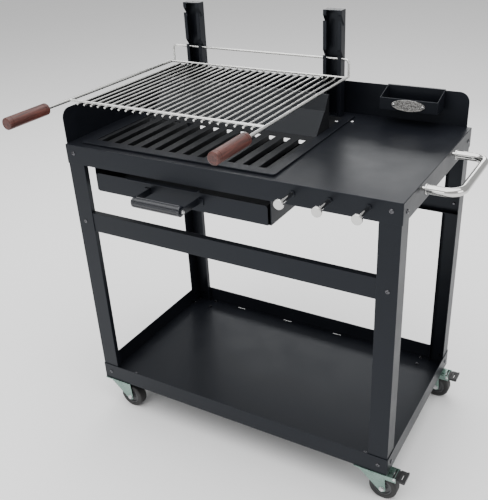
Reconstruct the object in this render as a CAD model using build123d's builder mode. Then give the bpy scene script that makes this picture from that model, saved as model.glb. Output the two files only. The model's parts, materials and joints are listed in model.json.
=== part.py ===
from build123d import *
import math
import os

os.makedirs("parts", exist_ok=True)

# Mobile charcoal grill cart, millimetres, +Z up, front towards -Y.
# The origin is on the ground, under the middle of the whole object.

# Sheet metal
sheet = 2.0
bend_radius = 1.5
running_gap = 0.5

# Table
table_length = 900.0
table_depth = 515.0
table_height = 840.0
skirt_height = 50.0

# Legs, folded angles with a short lip
leg_front = 50.0
leg_side = 45.0
leg_lip = 14.0

# Rails between the legs
rail_height = 53.0
rail_flange = 15.0
rail_drop = 186.0
rail_gap = 0.5

# Bottom shelf
shelf_wall = 50.0
drain_length = 30.0
drain_width = 3.0
drain_pitch = 180.0
drain_count = 4

# Wind guard
guard_height = 87.0
guard_lap = 36.0
guard_front_gap = 10.0
guard_right_gap = 13.0
guard_corner = 26.0

# Fire tray: rim, floor, slotted plate and fireback
rim_x = 38.0
rim_y = 21.0
rim_length = 558.0
rim_rear_gap = 35.0
rim_depth = table_depth - rim_y - rim_rear_gap
rim_width = 24.0
rim_front_width = 28.0
rim_thickness = 5.0
rim_corner = 7.0
ledge = 4.0
plate_gap = 1.0
plate_depth = 236.0
plate_thickness = 3.0
slot_count = 12
slot_pitch = 42.0
slot_width = 20.0
slot_length = 207.0
slot_wall = 1.5
slot_wall_depth = 10.0
fireback_slope_run = 50.0
fireback_slope_height = 54.0
fireback_lean = 21.0
fireback_height = 91.0
fireback_skin = 3.0
fireback_step = 2.0
fireback_cheek = 6.0
tray_bolt_inset = 6.0
tray_bolt_setback = 38.0
tray_bolt_step = 20.0

# Ash drawer and its rails
drawer_x = 84.5
drawer_length = 498.0
drawer_top_drop = 68.0
drawer_front_height = 49.0
drawer_front_y = 9.0
drawer_rear_gap = 102.0
drawer_depth = table_depth - drawer_front_y - drawer_rear_gap
drawer_wall = 1.5
drawer_corner = 8.0
drawer_side_gap = 3.0
drawer_lift = 0.4
drawer_rail_gap = 5.0
drawer_rail_foot = 20.0
drawer_rail_tail = 10.0
shield_middle = 210.5
shield_length = 208.0
shield_reach = 16.0
shield_rise = 7.0
arm_middle = 239.5
arm_spacing = 140.0
arm_height = 16.0
arm_thickness = 3.0
arm_tip_radius = 7.5
arm_drop = 21.5
drawer_grip_reach = 68.0
drawer_grip_radius = 13.0
drawer_grip_sides = 12

# Uprights with hook notches
upright_width = 52.0
upright_depth = 28.0
upright_lip = 10.0
upright_height = 276.0
upright_left_x = 73.0
upright_spacing = 433.0
upright_rear_gap = 49.0
upright_front_y = table_depth - upright_rear_gap
upright_hole = 2.5
hang_depth = 11.5
hang_height = 153.0
hang_pitch = 87.0
hook_angle = 55.0
hook_clearance = 1.2

# Cooking grate
grate_x = 19.0
grate_length = 557.0
grate_front_y = 26.0
grate_rear_gap = 55.0
grate_rear_y = table_depth - grate_rear_gap
grate_height = 110.0
rod_count = 24
rod_pitch = 21.6
rod_radius = 2.5
rod_nub = 8.0
crossbar_radius = 3.0
side_bar_radius = 4.0
hoop_radius = 3.0
hoop_bend = 12.0
grip_start_y = -56.0
grip_length = 128.0
grip_bore_depth = 102.0
grip_radius = 14.5
grip_chamfer = 3.0

# Utensil pegs
peg_first_x = 650.0
peg_pitch = 88.0
peg_drop = 22.0
peg_length = 60.0
peg_radius = 5.0
peg_head_radius = 12.0
peg_head_thickness = 5.0
peg_collar_radius = 7.0
peg_collar_length = 3.0
peg_edge = 1.0

# Push handle on the right end
handle_reach = 92.0
handle_front_y = 115.0
handle_rear_y = 340.0
handle_drop = 11.0
handle_radius = 10.0
handle_bend = 34.0
collar_radius = 11.5
collar_length = 4.0
neck_radius = 5.0
neck_length = 8.0

# Condiment tray hung on the back panel
caddy_x = 672.0
caddy_length = 152.0
caddy_depth = 58.0
caddy_base = 40.0
caddy_front = 30.0
caddy_hook = 12.0
hook_gap = 0.4
badge_length = 88.0
badge_height = 29.0
badge_thickness = 2.5
rivet_spacing = 76.0
rivet_radius = 2.5
rivet_height = 1.5

# Casters
wheel_radius = 37.5
wheel_width = 28.0
caster_height = 100.0
caster_trail = 30.0
caster_plate_length = 90.0
caster_plate_width = 66.0
caster_plate_thickness = 3.0
caster_overhang = 3.0
caster_bolt_x = 66.0
caster_bolt_y = 36.0
race_radius = 22.0
race_height = 10.0
swivel_gap = 0.5
crown_radius = 24.0
crown_thickness = 3.0
fork_sheet = 2.5
fork_gap = 3.0
fork_tip_radius = 10.0
cheek_reach = 35.0
axle_radius = 5.0
axle_fit = 0.05
axle_head = 4.0
axle_head_radius = 7.0
ear_height = 14.0
ear_tail = 5.0
pedal_pivot_x = 60.0
pedal_drop = 18.0
pedal_length = 34.0
tread_start = 7.0
pedal_width = 40.0
pedal_thickness = 9.0
pedal_pin_radius = 2.5

# Fasteners
screw_radius = 3.0
screw_head_radius = 5.5
screw_head_height = 2.5
screw_fit = 0.1
face_screw_inset = 25.0
face_screw_drop = 21.0
side_screw_inset = 27.0
side_screw_drop = 28.0

# Placing: the table corner is set so that the whole object is centred on the origin
front_reach = grip_length - grip_start_y
screw_reach = sheet + screw_head_height
left = -(table_length + handle_reach - screw_reach) / 2
front = -(table_depth + screw_reach - front_reach) / 2
shelf_z = caster_height
skirt_z = table_height - skirt_height


def block(x0, x1, y0, y1, z0, z1, mode=Mode.ADD):
    """Box between two corners, x and y measured from the table's front left corner."""
    middle = (left + (x0 + x1) / 2, front + (y0 + y1) / 2, (z0 + z1) / 2)
    with Locations(middle):
        Box(x1 - x0, y1 - y0, z1 - z0, mode=mode)


def rod(point, direction, radius, length, mode=Mode.ADD):
    """Cylinder from a point along a direction, in table coordinates."""
    start = Vector(left + point[0], front + point[1], point[2])
    with Locations(Plane(origin=start, z_dir=direction)):
        Cylinder(radius, length, align=(Align.CENTER, Align.CENTER, Align.MIN), mode=mode)


def finish(piece, name):
    piece.part.label = name
    export_step(piece.part, f"parts/{name}.step")


# Table top, folded down all round
rim_inner_left = rim_x + rim_width
rim_inner_right = rim_x + rim_length - rim_width
rim_inner_front = rim_y + rim_front_width
floor_front = rim_inner_front + plate_depth + 2 * plate_gap
hole_left = rim_inner_left + ledge
hole_right = rim_inner_right - ledge
hole_front = rim_inner_front + ledge
hole_rear = floor_front - ledge
peg_z = table_height - peg_drop
handle_z = table_height - handle_drop
skirt_screw_z = table_height - face_screw_drop
side_screw_z = table_height - side_screw_drop
handle_ends = (handle_front_y, handle_rear_y)
rail_z = table_height - rail_drop - rail_height
rail_screw_z = rail_z + rail_height / 2
shelf_screw_z = shelf_z + shelf_wall / 2

with BuildPart() as table_top:
    block(0, table_length, 0, table_depth, skirt_z, table_height)
    fillet(table_top.edges().filter_by(Axis.Z), radius=2 * bend_radius)
    fillet(table_top.faces().sort_by(Axis.Z)[-1].edges(), radius=bend_radius)
    block(
        sheet,
        table_length - sheet,
        sheet,
        table_depth - sheet,
        skirt_z,
        table_height - sheet,
        Mode.SUBTRACT,
    )
    block(hole_left, hole_right, hole_front, hole_rear, skirt_z, table_height, Mode.SUBTRACT)
    for x in (face_screw_inset, table_length - face_screw_inset):
        start = (x, 0, skirt_screw_z)
        rod(start, (0, 1, 0), screw_radius + screw_fit, table_depth, Mode.SUBTRACT)
    for y in (side_screw_inset, table_depth - side_screw_inset):
        start = (0, y, side_screw_z)
        rod(start, (1, 0, 0), screw_radius + screw_fit, table_length, Mode.SUBTRACT)
finish(table_top, "table_top")


# Legs stand inside the skirt and inside the shelf walls
def leg_profile(sign_x, sign_y):
    """Angle with a lip at the inner end of the wide flange, drawn from its outer corner."""
    points = [
        (0, 0),
        (leg_front, 0),
        (leg_front, leg_lip),
        (leg_front - sheet, leg_lip),
        (leg_front - sheet, sheet),
        (sheet, sheet),
        (sheet, leg_side),
        (0, leg_side),
    ]
    return [(sign_x * x, sign_y * y) for x, y in points]


leg_corners = {
    "leg_front_left": (sheet, sheet, 1, 1),
    "leg_front_right": (table_length - sheet, sheet, -1, 1),
    "leg_rear_left": (sheet, table_depth - sheet, 1, -1),
    "leg_rear_right": (table_length - sheet, table_depth - sheet, -1, -1),
}
leg_bottom = shelf_z + sheet
leg_height = table_height - sheet - leg_bottom

for name, (corner_x, corner_y, sign_x, sign_y) in leg_corners.items():
    with BuildPart() as leg:
        with BuildSketch(Plane.XY.offset(leg_bottom)):
            with Locations((left + corner_x, front + corner_y)):
                Polygon(*leg_profile(sign_x, sign_y), align=None)
        extrude(amount=leg_height)
        screw_x = face_screw_inset if sign_x > 0 else table_length - face_screw_inset
        screw_y = corner_y - sign_y * sheet
        side_y = side_screw_inset if sign_y > 0 else table_depth - side_screw_inset
        side_x = corner_x - sign_x * sheet
        for z in (skirt_screw_z, rail_screw_z, shelf_screw_z):
            start = (screw_x, screw_y, z)
            rod(start, (0, sign_y, 0), screw_radius + screw_fit, 3 * sheet, Mode.SUBTRACT)
        for z in (side_screw_z, shelf_screw_z):
            start = (side_x, side_y, z)
            rod(start, (sign_x, 0, 0), screw_radius + screw_fit, 3 * sheet, Mode.SUBTRACT)
        lip_x = sorted((corner_x + sign_x * leg_front, corner_x + sign_x * (leg_front - sheet)))
        lip_y = sorted((corner_y + sign_y * sheet, corner_y + sign_y * leg_lip))
        notch_top = rail_z + rail_height + rail_gap
        block(*lip_x, *lip_y, rail_z - rail_gap, notch_top, Mode.SUBTRACT)
    finish(leg, name)


# Rails: channels bolted behind the wide flanges, through notches in the leg lips
def make_rail(name, web_y, sign_y):
    end = 2 * sheet + rail_gap
    back = web_y + sign_y * sheet
    tip = back + sign_y * rail_flange
    with BuildPart() as rail:
        block(end, table_length - end, *sorted((web_y, back)), rail_z, rail_z + rail_height)
        for z in (rail_z, rail_z + rail_height - sheet):
            block(end, table_length - end, *sorted((back, tip)), z, z + sheet)
        for x in (face_screw_inset, table_length - face_screw_inset):
            start = (x, web_y, rail_screw_z)
            rod(start, (0, sign_y, 0), screw_radius + screw_fit, sheet, Mode.SUBTRACT)
    finish(rail, name)


make_rail("front_rail", 2 * sheet, 1)
make_rail("rear_rail", table_depth - 2 * sheet, -1)

# Caster places, measured to each swivel axis
caster_inset_x = caster_plate_length / 2
caster_inset_y = caster_plate_width / 2 - caster_overhang
caster_places = {
    "front_left": (caster_inset_x, caster_inset_y),
    "front_right": (table_length - caster_inset_x, caster_inset_y),
    "rear_left": (caster_inset_x, table_depth - caster_inset_y),
    "rear_right": (table_length - caster_inset_x, table_depth - caster_inset_y),
}


def bolt_points(place):
    """Four bolt centres round a swivel axis."""
    offsets = [(sx, sy) for sx in (-1, 1) for sy in (-1, 1)]
    return [
        (place[0] + sx * caster_bolt_x / 2, place[1] + sy * caster_bolt_y / 2)
        for sx, sy in offsets
    ]


# Bottom shelf, an upturned pan: a floor inside four walls
inner_x = table_length - sheet
inner_y = table_depth - sheet
with BuildPart() as shelf_walls:
    inner_top = shelf_z + shelf_wall
    block(0, table_length, 0, table_depth, shelf_z, inner_top)
    fillet(shelf_walls.edges().filter_by(Axis.Z), radius=2 * bend_radius)
    block(sheet, inner_x, sheet, inner_y, shelf_z, inner_top, Mode.SUBTRACT)
    for x in (face_screw_inset, table_length - face_screw_inset):
        start = (x, 0, shelf_screw_z)
        rod(start, (0, 1, 0), screw_radius + screw_fit, table_depth, Mode.SUBTRACT)
    for y in (side_screw_inset, table_depth - side_screw_inset):
        start = (0, y, shelf_screw_z)
        rod(start, (1, 0, 0), screw_radius + screw_fit, table_length, Mode.SUBTRACT)
finish(shelf_walls, "shelf_walls")

with BuildPart() as shelf_floor:
    block(sheet, inner_x, sheet, inner_y, shelf_z, shelf_z + sheet)
    for place in caster_places.values():
        for x, y in bolt_points(place):
            rod((x, y, shelf_z), (0, 0, 1), screw_radius + screw_fit, sheet, Mode.SUBTRACT)
    drain_y = table_depth - 3 * sheet - drain_width
    for index in range(drain_count):
        x = table_length / 2 + (index - (drain_count - 1) / 2) * drain_pitch
        x0 = x - drain_length / 2
        y1 = drain_y + drain_width
        block(x0, x0 + drain_length, drain_y, y1, shelf_z, shelf_z + sheet, Mode.SUBTRACT)
finish(shelf_floor, "shelf_floor")

# Wind guard: two sheets lapped down outside the skirt
guard_top = table_height + guard_height
guard_bottom = table_height - guard_lap
with BuildPart() as left_panel:
    block(-sheet, 0, guard_front_gap, table_depth + sheet, guard_bottom, guard_top)
    corner = left_panel.edges().filter_by(Axis.X).group_by(Axis.Z)[-1].sort_by(Axis.Y)[0]
    fillet(corner, radius=guard_corner)
    for y in (side_screw_inset, table_depth - side_screw_inset):
        rod((-sheet, y, side_screw_z), (1, 0, 0), screw_radius + screw_fit, sheet, Mode.SUBTRACT)
finish(left_panel, "left_panel")

guard_right = table_length - guard_right_gap
with BuildPart() as back_panel:
    block(0, guard_right, table_depth, table_depth + sheet, guard_bottom, guard_top)
    corner = back_panel.edges().filter_by(Axis.Y).group_by(Axis.Z)[-1].sort_by(Axis.X)[-1]
    fillet(corner, radius=guard_corner)
    for x in (face_screw_inset, table_length - face_screw_inset):
        start = (x, table_depth, skirt_screw_z)
        rod(start, (0, 1, 0), screw_radius + screw_fit, sheet, Mode.SUBTRACT)
finish(back_panel, "back_panel")

# Fire tray rim: three flat bars on the table round the opening
rim_right = rim_x + rim_length
rim_rear = rim_y + rim_depth
rim_top = table_height + rim_thickness
with BuildPart() as fire_rim:
    block(rim_x, rim_right, rim_y, rim_rear, table_height, rim_top)
    upright_edges = fire_rim.edges().filter_by(Axis.Z).group_by(Axis.Y)[0]
    fillet(upright_edges, radius=rim_corner)
    block(
        rim_inner_left,
        rim_inner_right,
        rim_inner_front,
        rim_rear,
        table_height,
        rim_top,
        Mode.SUBTRACT,
    )
    fillet(fire_rim.faces().sort_by(Axis.Z)[-1].edges(), radius=bend_radius / 2)
finish(fire_rim, "fire_rim")

# Sheet floor behind the slotted plate, which carries the fireback
floor_rear = upright_front_y - 2 * plate_gap
with BuildPart() as tray_floor:
    x0 = rim_inner_left + plate_gap / 2
    x1 = rim_inner_right - plate_gap / 2
    block(x0, x1, floor_front, floor_rear, table_height, table_height + sheet)
finish(tray_floor, "tray_floor")

# Slotted charcoal plate, loose in the rim, with walls folded down beside each slot
plate_front = rim_inner_front + plate_gap
plate_left = rim_inner_left + plate_gap
plate_right = rim_inner_right - plate_gap
slot_front = hole_front + plate_gap
slot_middle_y = slot_front + slot_length / 2
plate_middle_x = (plate_left + plate_right) / 2
with BuildPart() as charcoal_plate:
    plate_top = table_height + plate_thickness
    block(plate_left, plate_right, plate_front, plate_front + plate_depth, table_height, plate_top)
    wall_foot = table_height - slot_wall_depth
    wall_front = slot_front + 2 * slot_wall
    wall_rear = slot_front + slot_length - 2 * slot_wall
    for index in range(slot_count):
        x = plate_middle_x + (index - (slot_count - 1) / 2) * slot_pitch
        for edge in (x - slot_width / 2 - slot_wall, x + slot_width / 2):
            block(edge, edge + slot_wall, wall_front, wall_rear, wall_foot, table_height)
    slots_at = (left + plate_middle_x, front + slot_middle_y)
    with BuildSketch(Plane.XY.offset(table_height)):
        with Locations(slots_at):
            with GridLocations(slot_pitch, 1, slot_count, 1):
                RectangleRounded(slot_width, slot_length, slot_wall)
    extrude(amount=plate_thickness, mode=Mode.SUBTRACT)
finish(charcoal_plate, "charcoal_plate")

# Fireback: a sloped skin and a steeper one above it, a top flange and a cheek at each end
fire_x0 = rim_inner_left + plate_gap
fire_x1 = rim_inner_right - plate_gap
fire_y0 = floor_front + plate_gap
fire_y1 = fire_y0 + fireback_slope_run
fire_y2 = fire_y1 + fireback_step + fireback_lean
fire_z0 = table_height + sheet
fire_z1 = table_height + fireback_slope_height
fire_z2 = table_height + fireback_height
fire_rear = fire_y2 + fireback_cheek
fire_ledge = (fire_y1 + fireback_step, fire_z1)
fire_face = [(fire_y0, fire_z0), (fire_y1, fire_z1), fire_ledge, (fire_y2, fire_z2)]
fire_back = [
    (fire_y2 + fireback_skin, fire_z2),
    (fire_y1 + fireback_step + fireback_skin, fire_z1),
    (fire_y0 + fireback_skin, fire_z0),
]


def side_profile(points):
    """Points of a side view, turned into sketch coordinates of the YZ plane."""
    return [(front + y, z) for y, z in points]


with BuildPart() as fireback:
    with BuildSketch(Plane.YZ.offset(left + fire_x0)):
        Polygon(*side_profile(fire_face + fire_back), align=None)
    extrude(amount=fire_x1 - fire_x0)
    for x in (fire_x0, fire_x1 - sheet):
        with BuildSketch(Plane.YZ.offset(left + x)):
            cheek = fire_face + [(fire_rear, fire_z2), (fire_rear, fire_z0)]
            Polygon(*side_profile(cheek), align=None)
        extrude(amount=sheet)
    block(fire_x0, fire_x1, fire_y2, fire_rear, fire_z2 - sheet, fire_z2)
finish(fireback, "fireback")

# Uprights: lipped channels open to the front, with a sloping hook notch at two heights
hang_y = upright_front_y + hang_depth
bar_slot = hoop_radius + hook_clearance
hook_direction = Vector(0, -math.cos(math.radians(hook_angle)), math.sin(math.radians(hook_angle)))
hook_length = 2 * hang_depth / math.cos(math.radians(hook_angle))
uprights = {
    "upright_left": upright_left_x,
    "upright_right": upright_left_x + upright_spacing,
}
for name, x0 in uprights.items():
    x1 = x0 + upright_width
    y0 = upright_front_y
    y1 = upright_front_y + upright_depth
    with BuildPart() as upright:
        top = table_height + upright_height
        block(x0, x1, y0, y1, table_height, top)
        fillet(upright.edges().filter_by(Axis.Z), radius=bend_radius)
        inside = (x0 + sheet, x1 - sheet, y0 + sheet, y1 - sheet)
        block(*inside, table_height + sheet, top - sheet, Mode.SUBTRACT)
        mouth = (x0 + upright_lip, x1 - upright_lip, y0, y0 + sheet)
        block(*mouth, table_height + sheet, top - sheet, Mode.SUBTRACT)
        hole_at = ((x0 + x1) / 2, (y0 + y1) / 2, top - sheet)
        rod(hole_at, (0, 0, 1), upright_hole, sheet, Mode.SUBTRACT)
        for level in (0, 1):
            seat_z = table_height + hang_height + level * hang_pitch
            seat = (x0, hang_y, seat_z)
            rod(seat, (1, 0, 0), bar_slot, upright_width, Mode.SUBTRACT)
            centre = Vector(left + (x0 + x1) / 2, front + hang_y, seat_z)
            slot_plane = Plane(origin=centre, x_dir=(1, 0, 0), z_dir=hook_direction)
            with Locations(slot_plane):
                Box(
                    upright_width,
                    2 * bar_slot,
                    hook_length,
                    align=(Align.CENTER, Align.CENTER, Align.MIN),
                    mode=Mode.SUBTRACT,
                )
    finish(upright, name)

# Cooking grate: side bars that run on into the handles
side_bar_xs = (grate_x, grate_x + grate_length)
grate_z = table_height + grate_height
bar_front_y = grip_start_y - grip_bore_depth
with BuildPart() as grate_side_bars:
    for x in side_bar_xs:
        rod((x, bar_front_y, grate_z), (0, 1, 0), side_bar_radius, hang_y - bar_front_y)
finish(grate_side_bars, "grate_side_bars")

with BuildPart() as grate_crossbars:
    for y in (grate_front_y, grate_rear_y):
        start = grate_x + side_bar_radius
        rod((start, y, grate_z), (1, 0, 0), crossbar_radius, grate_length - 2 * side_bar_radius)
finish(grate_crossbars, "grate_crossbars")

rod_z = grate_z - crossbar_radius - rod_radius
rod_length = grate_rear_y - grate_front_y + rod_nub + crossbar_radius
with BuildPart() as grate_rods:
    for index in range(rod_count):
        x = grate_x + grate_length / 2 + (index - (rod_count - 1) / 2) * rod_pitch
        rod((x, grate_front_y - rod_nub, rod_z), (0, 1, 0), rod_radius, rod_length)
finish(grate_rods, "grate_rods")

# Hoop that hangs in the notches
hoop_low = grate_z + side_bar_radius
hoop_top = table_height + hang_height
with BuildPart() as grate_hoop:
    hoop_plane = Plane(origin=(left, front + hang_y, 0), x_dir=(1, 0, 0), z_dir=(0, -1, 0))
    with BuildLine(hoop_plane) as hoop_path:
        FilletPolyline(
            (side_bar_xs[0], hoop_low),
            (side_bar_xs[0], hoop_top),
            (side_bar_xs[1], hoop_top),
            (side_bar_xs[1], hoop_low),
            radius=hoop_bend,
        )
    with BuildSketch(Plane.XY.offset(hoop_low)):
        with Locations((left + side_bar_xs[0], front + hang_y)):
            Circle(hoop_radius)
    sweep(path=hoop_path.line)
finish(grate_hoop, "grate_hoop")

for name, x in zip(("grip_left", "grip_right"), side_bar_xs):
    with BuildPart() as grip:
        rod((x, grip_start_y, grate_z), (0, -1, 0), grip_radius, grip_length)
        rims = grip.edges().filter_by(GeomType.CIRCLE)
        chamfer(rims, length=grip_chamfer)
        start = (x, grip_start_y, grate_z)
        rod(start, (0, -1, 0), side_bar_radius, grip_bore_depth, Mode.SUBTRACT)
    finish(grip, name)

# Drawer rails: hung walls with a foot that the drawer runs on
drawer_right = drawer_x + drawer_length
drawer_top = table_height - drawer_top_drop
drawer_bottom = drawer_top - drawer_front_height
drawer_rear = drawer_front_y + sheet + drawer_depth
rail_sides = {
    "drawer_rail_left": (drawer_x - drawer_rail_gap - sheet, 1),
    "drawer_rail_right": (drawer_right + drawer_rail_gap, -1),
}
for name, (wall_x, sign) in rail_sides.items():
    with BuildPart() as drawer_rail:
        rail_y0 = drawer_front_y + 2 * sheet
        rail_y1 = drawer_rear + drawer_rail_tail
        wall_top = table_height - sheet
        block(wall_x, wall_x + sheet, rail_y0, rail_y1, drawer_bottom, wall_top)
        foot_x = wall_x + sheet if sign > 0 else wall_x - drawer_rail_foot
        foot_top = drawer_bottom + sheet
        block(foot_x, foot_x + drawer_rail_foot, rail_y0, rail_y1, drawer_bottom, foot_top)
        dip = wall_foot - 2 * sheet
        block(wall_x, wall_x + sheet, hole_front, hole_rear, dip, wall_top, Mode.SUBTRACT)
        for y0, y1 in ((rail_y0, hole_front - ledge), (hole_rear + ledge, rail_y1)):
            flange_x = wall_x - drawer_rail_foot if sign > 0 else wall_x + sheet
            block(flange_x, flange_x + drawer_rail_foot, y0, y1, wall_top - sheet, wall_top)
    finish(drawer_rail, name)

# Ash drawer
pan_left = drawer_x + drawer_side_gap
pan_right = drawer_right - drawer_side_gap
pan_front = drawer_front_y + sheet
pan_floor = drawer_bottom + sheet + drawer_lift
pan_top = drawer_top - sheet
with BuildPart() as drawer_pan:
    block(pan_left, pan_right, pan_front, drawer_rear, pan_floor, pan_top)
    block(
        pan_left + drawer_wall,
        pan_right - drawer_wall,
        pan_front + drawer_wall,
        drawer_rear - drawer_wall,
        pan_floor + drawer_wall,
        pan_top,
        Mode.SUBTRACT,
    )
finish(drawer_pan, "drawer_pan")

with BuildPart() as drawer_front:
    block(drawer_x, drawer_right, drawer_front_y, pan_front, drawer_bottom, drawer_top)
    corners = drawer_front.edges().filter_by(Axis.Y).group_by(Axis.Z)[-1]
    fillet(corners, radius=drawer_corner)
finish(drawer_front, "drawer_front")

# Heat shield above the drawer handle, folded forward off the top edge of the drawer front
shield_x0 = drawer_x + shield_middle - shield_length / 2
shield_x1 = shield_x0 + shield_length
shield_top = drawer_top + shield_rise
shield_tip = drawer_front_y - shield_reach
with BuildPart() as heat_shield:
    block(shield_x0, shield_x1, drawer_front_y, pan_front, drawer_top, shield_top)
    block(shield_x0, shield_x1, shield_tip, drawer_front_y, shield_top - sheet, shield_top)
    fillet(heat_shield.edges().filter_by(Axis.Z).group_by(Axis.Y)[0], radius=4 * bend_radius)
finish(heat_shield, "heat_shield")

# Drawer handle: two arms and a faceted grip between them
arm_x = drawer_x + arm_middle
arm_z = drawer_top - arm_drop
grip_y = drawer_front_y - drawer_grip_reach
arm_xs = (arm_x - arm_spacing / 2, arm_x + arm_spacing / 2)
with BuildPart() as drawer_handle:
    for x, sign in zip(arm_xs, (1, -1)):
        x0, x1 = sorted((x, x - sign * arm_thickness))
        tip = grip_y - arm_height / 2
        block(x0, x1, tip, drawer_front_y, arm_z - arm_height / 2, arm_z + arm_height / 2)
        f0, f1 = sorted((x, x - sign * arm_height))
        foot_y = drawer_front_y - arm_thickness
        block(f0, f1, foot_y, drawer_front_y, arm_z - arm_height / 2, arm_z + arm_height / 2)
    tips = drawer_handle.edges().filter_by(Axis.X).group_by(Axis.Y)[0]
    fillet(tips, radius=arm_tip_radius)
    start = (arm_xs[0] - arm_thickness, grip_y, arm_z)
    whole = arm_spacing + 2 * arm_thickness
    rod(start, (1, 0, 0), screw_radius + screw_fit, whole, Mode.SUBTRACT)
finish(drawer_handle, "drawer_handle")

with BuildPart() as drawer_grip:
    grip_plane = Plane.YZ.offset(left + arm_xs[0] + running_gap)
    with BuildSketch(grip_plane):
        with Locations((front + grip_y, arm_z)):
            RegularPolygon(drawer_grip_radius, drawer_grip_sides)
            Circle(screw_radius + screw_fit, mode=Mode.SUBTRACT)
    extrude(amount=arm_spacing - 2 * running_gap)
finish(drawer_grip, "drawer_grip")

with BuildPart() as drawer_grip_bolt:
    bolt_x = arm_xs[0] - arm_thickness
    rod((bolt_x, grip_y, arm_z), (1, 0, 0), screw_radius, whole)
    for x, direction in ((bolt_x, -1), (bolt_x + whole, 1)):
        rod((x, grip_y, arm_z), (direction, 0, 0), screw_head_radius, screw_head_height)
finish(drawer_grip_bolt, "drawer_grip_bolt")

# Utensil pegs on the front skirt
for index in range(3):
    x = peg_first_x + index * peg_pitch
    with BuildPart() as peg:
        rod((x, 0, peg_z), (0, -1, 0), peg_radius, peg_length)
        rod((x, 0, peg_z), (0, -1, 0), peg_collar_radius, peg_collar_length)
        rod((x, -peg_length, peg_z), (0, -1, 0), peg_head_radius, peg_head_thickness)
        end_rims = peg.edges().filter_by(GeomType.CIRCLE).group_by(Axis.Y)[0]
        fillet(end_rims, radius=peg_edge)
    finish(peg, f"peg_{index + 1}")

# Push handle: a bent tube held off the skirt by two necked collars
tube_start = neck_length + collar_length
handle_x = handle_reach - handle_radius
with BuildPart() as handle_tube:
    handle_plane = Plane.XY.offset(handle_z)
    with BuildLine(handle_plane) as handle_path:
        FilletPolyline(
            (left + table_length + tube_start, front + handle_front_y),
            (left + table_length + handle_x, front + handle_front_y),
            (left + table_length + handle_x, front + handle_rear_y),
            (left + table_length + tube_start, front + handle_rear_y),
            radius=handle_bend,
        )
    tube_end = (left + table_length + tube_start, front + handle_front_y, handle_z)
    with BuildSketch(Plane(origin=tube_end, x_dir=(0, 1, 0), z_dir=(1, 0, 0))):
        Circle(handle_radius)
    sweep(path=handle_path.line)
finish(handle_tube, "handle_tube")

with BuildPart() as handle_collars:
    for y in handle_ends:
        rod((table_length, y, handle_z), (1, 0, 0), neck_radius, neck_length)
        start = (table_length + neck_length, y, handle_z)
        rod(start, (1, 0, 0), collar_radius, collar_length)
finish(handle_collars, "handle_collars")

# Condiment caddy, hooked over the back panel
caddy_rear = table_depth - hook_gap
caddy_front_y = caddy_rear - caddy_depth
caddy_z0 = table_height + caddy_base
caddy_z1 = caddy_z0 + caddy_front
caddy_z2 = guard_top + hook_gap
caddy_right = caddy_x + caddy_length
caddy_outline = [
    (caddy_front_y, caddy_z0),
    (caddy_front_y, caddy_z1),
    (caddy_rear - sheet, caddy_z2),
    (caddy_rear, caddy_z2),
    (caddy_rear, caddy_z0),
]
caddy_lid_z = caddy_z2 + sheet
with BuildPart() as caddy:
    with BuildSketch(Plane.YZ.offset(left + caddy_x)):
        Polygon(*side_profile(caddy_outline), align=None)
    extrude(amount=caddy_length)
    block(
        caddy_x + sheet,
        caddy_right - sheet,
        caddy_front_y + sheet,
        caddy_rear - sheet,
        caddy_z0 + sheet,
        caddy_z2,
        Mode.SUBTRACT,
    )
    hook_rear = table_depth + sheet + hook_gap
    block(caddy_x, caddy_right, caddy_rear - sheet, hook_rear + sheet, caddy_z2, caddy_lid_z)
    block(caddy_x, caddy_right, hook_rear, hook_rear + sheet, caddy_z2 - caddy_hook, caddy_z2)
finish(caddy, "caddy")

badge_x = caddy_x + caddy_length / 2
badge_z = (caddy_z0 + caddy_z1) / 2
with BuildPart() as name_badge:
    badge_plane = Plane.XZ.offset(-(front + caddy_front_y))
    with BuildSketch(badge_plane):
        with Locations((left + badge_x, badge_z)):
            Ellipse(badge_length / 2, badge_height / 2)
    extrude(amount=badge_thickness)
finish(name_badge, "name_badge")

with BuildPart() as badge_rivets:
    for side in (-1, 1):
        x = badge_x + side * rivet_spacing / 2
        rivet_y = caddy_front_y - badge_thickness
        rod((x, rivet_y, badge_z), (0, -1, 0), rivet_radius, rivet_height)
finish(badge_rivets, "badge_rivets")

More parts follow.
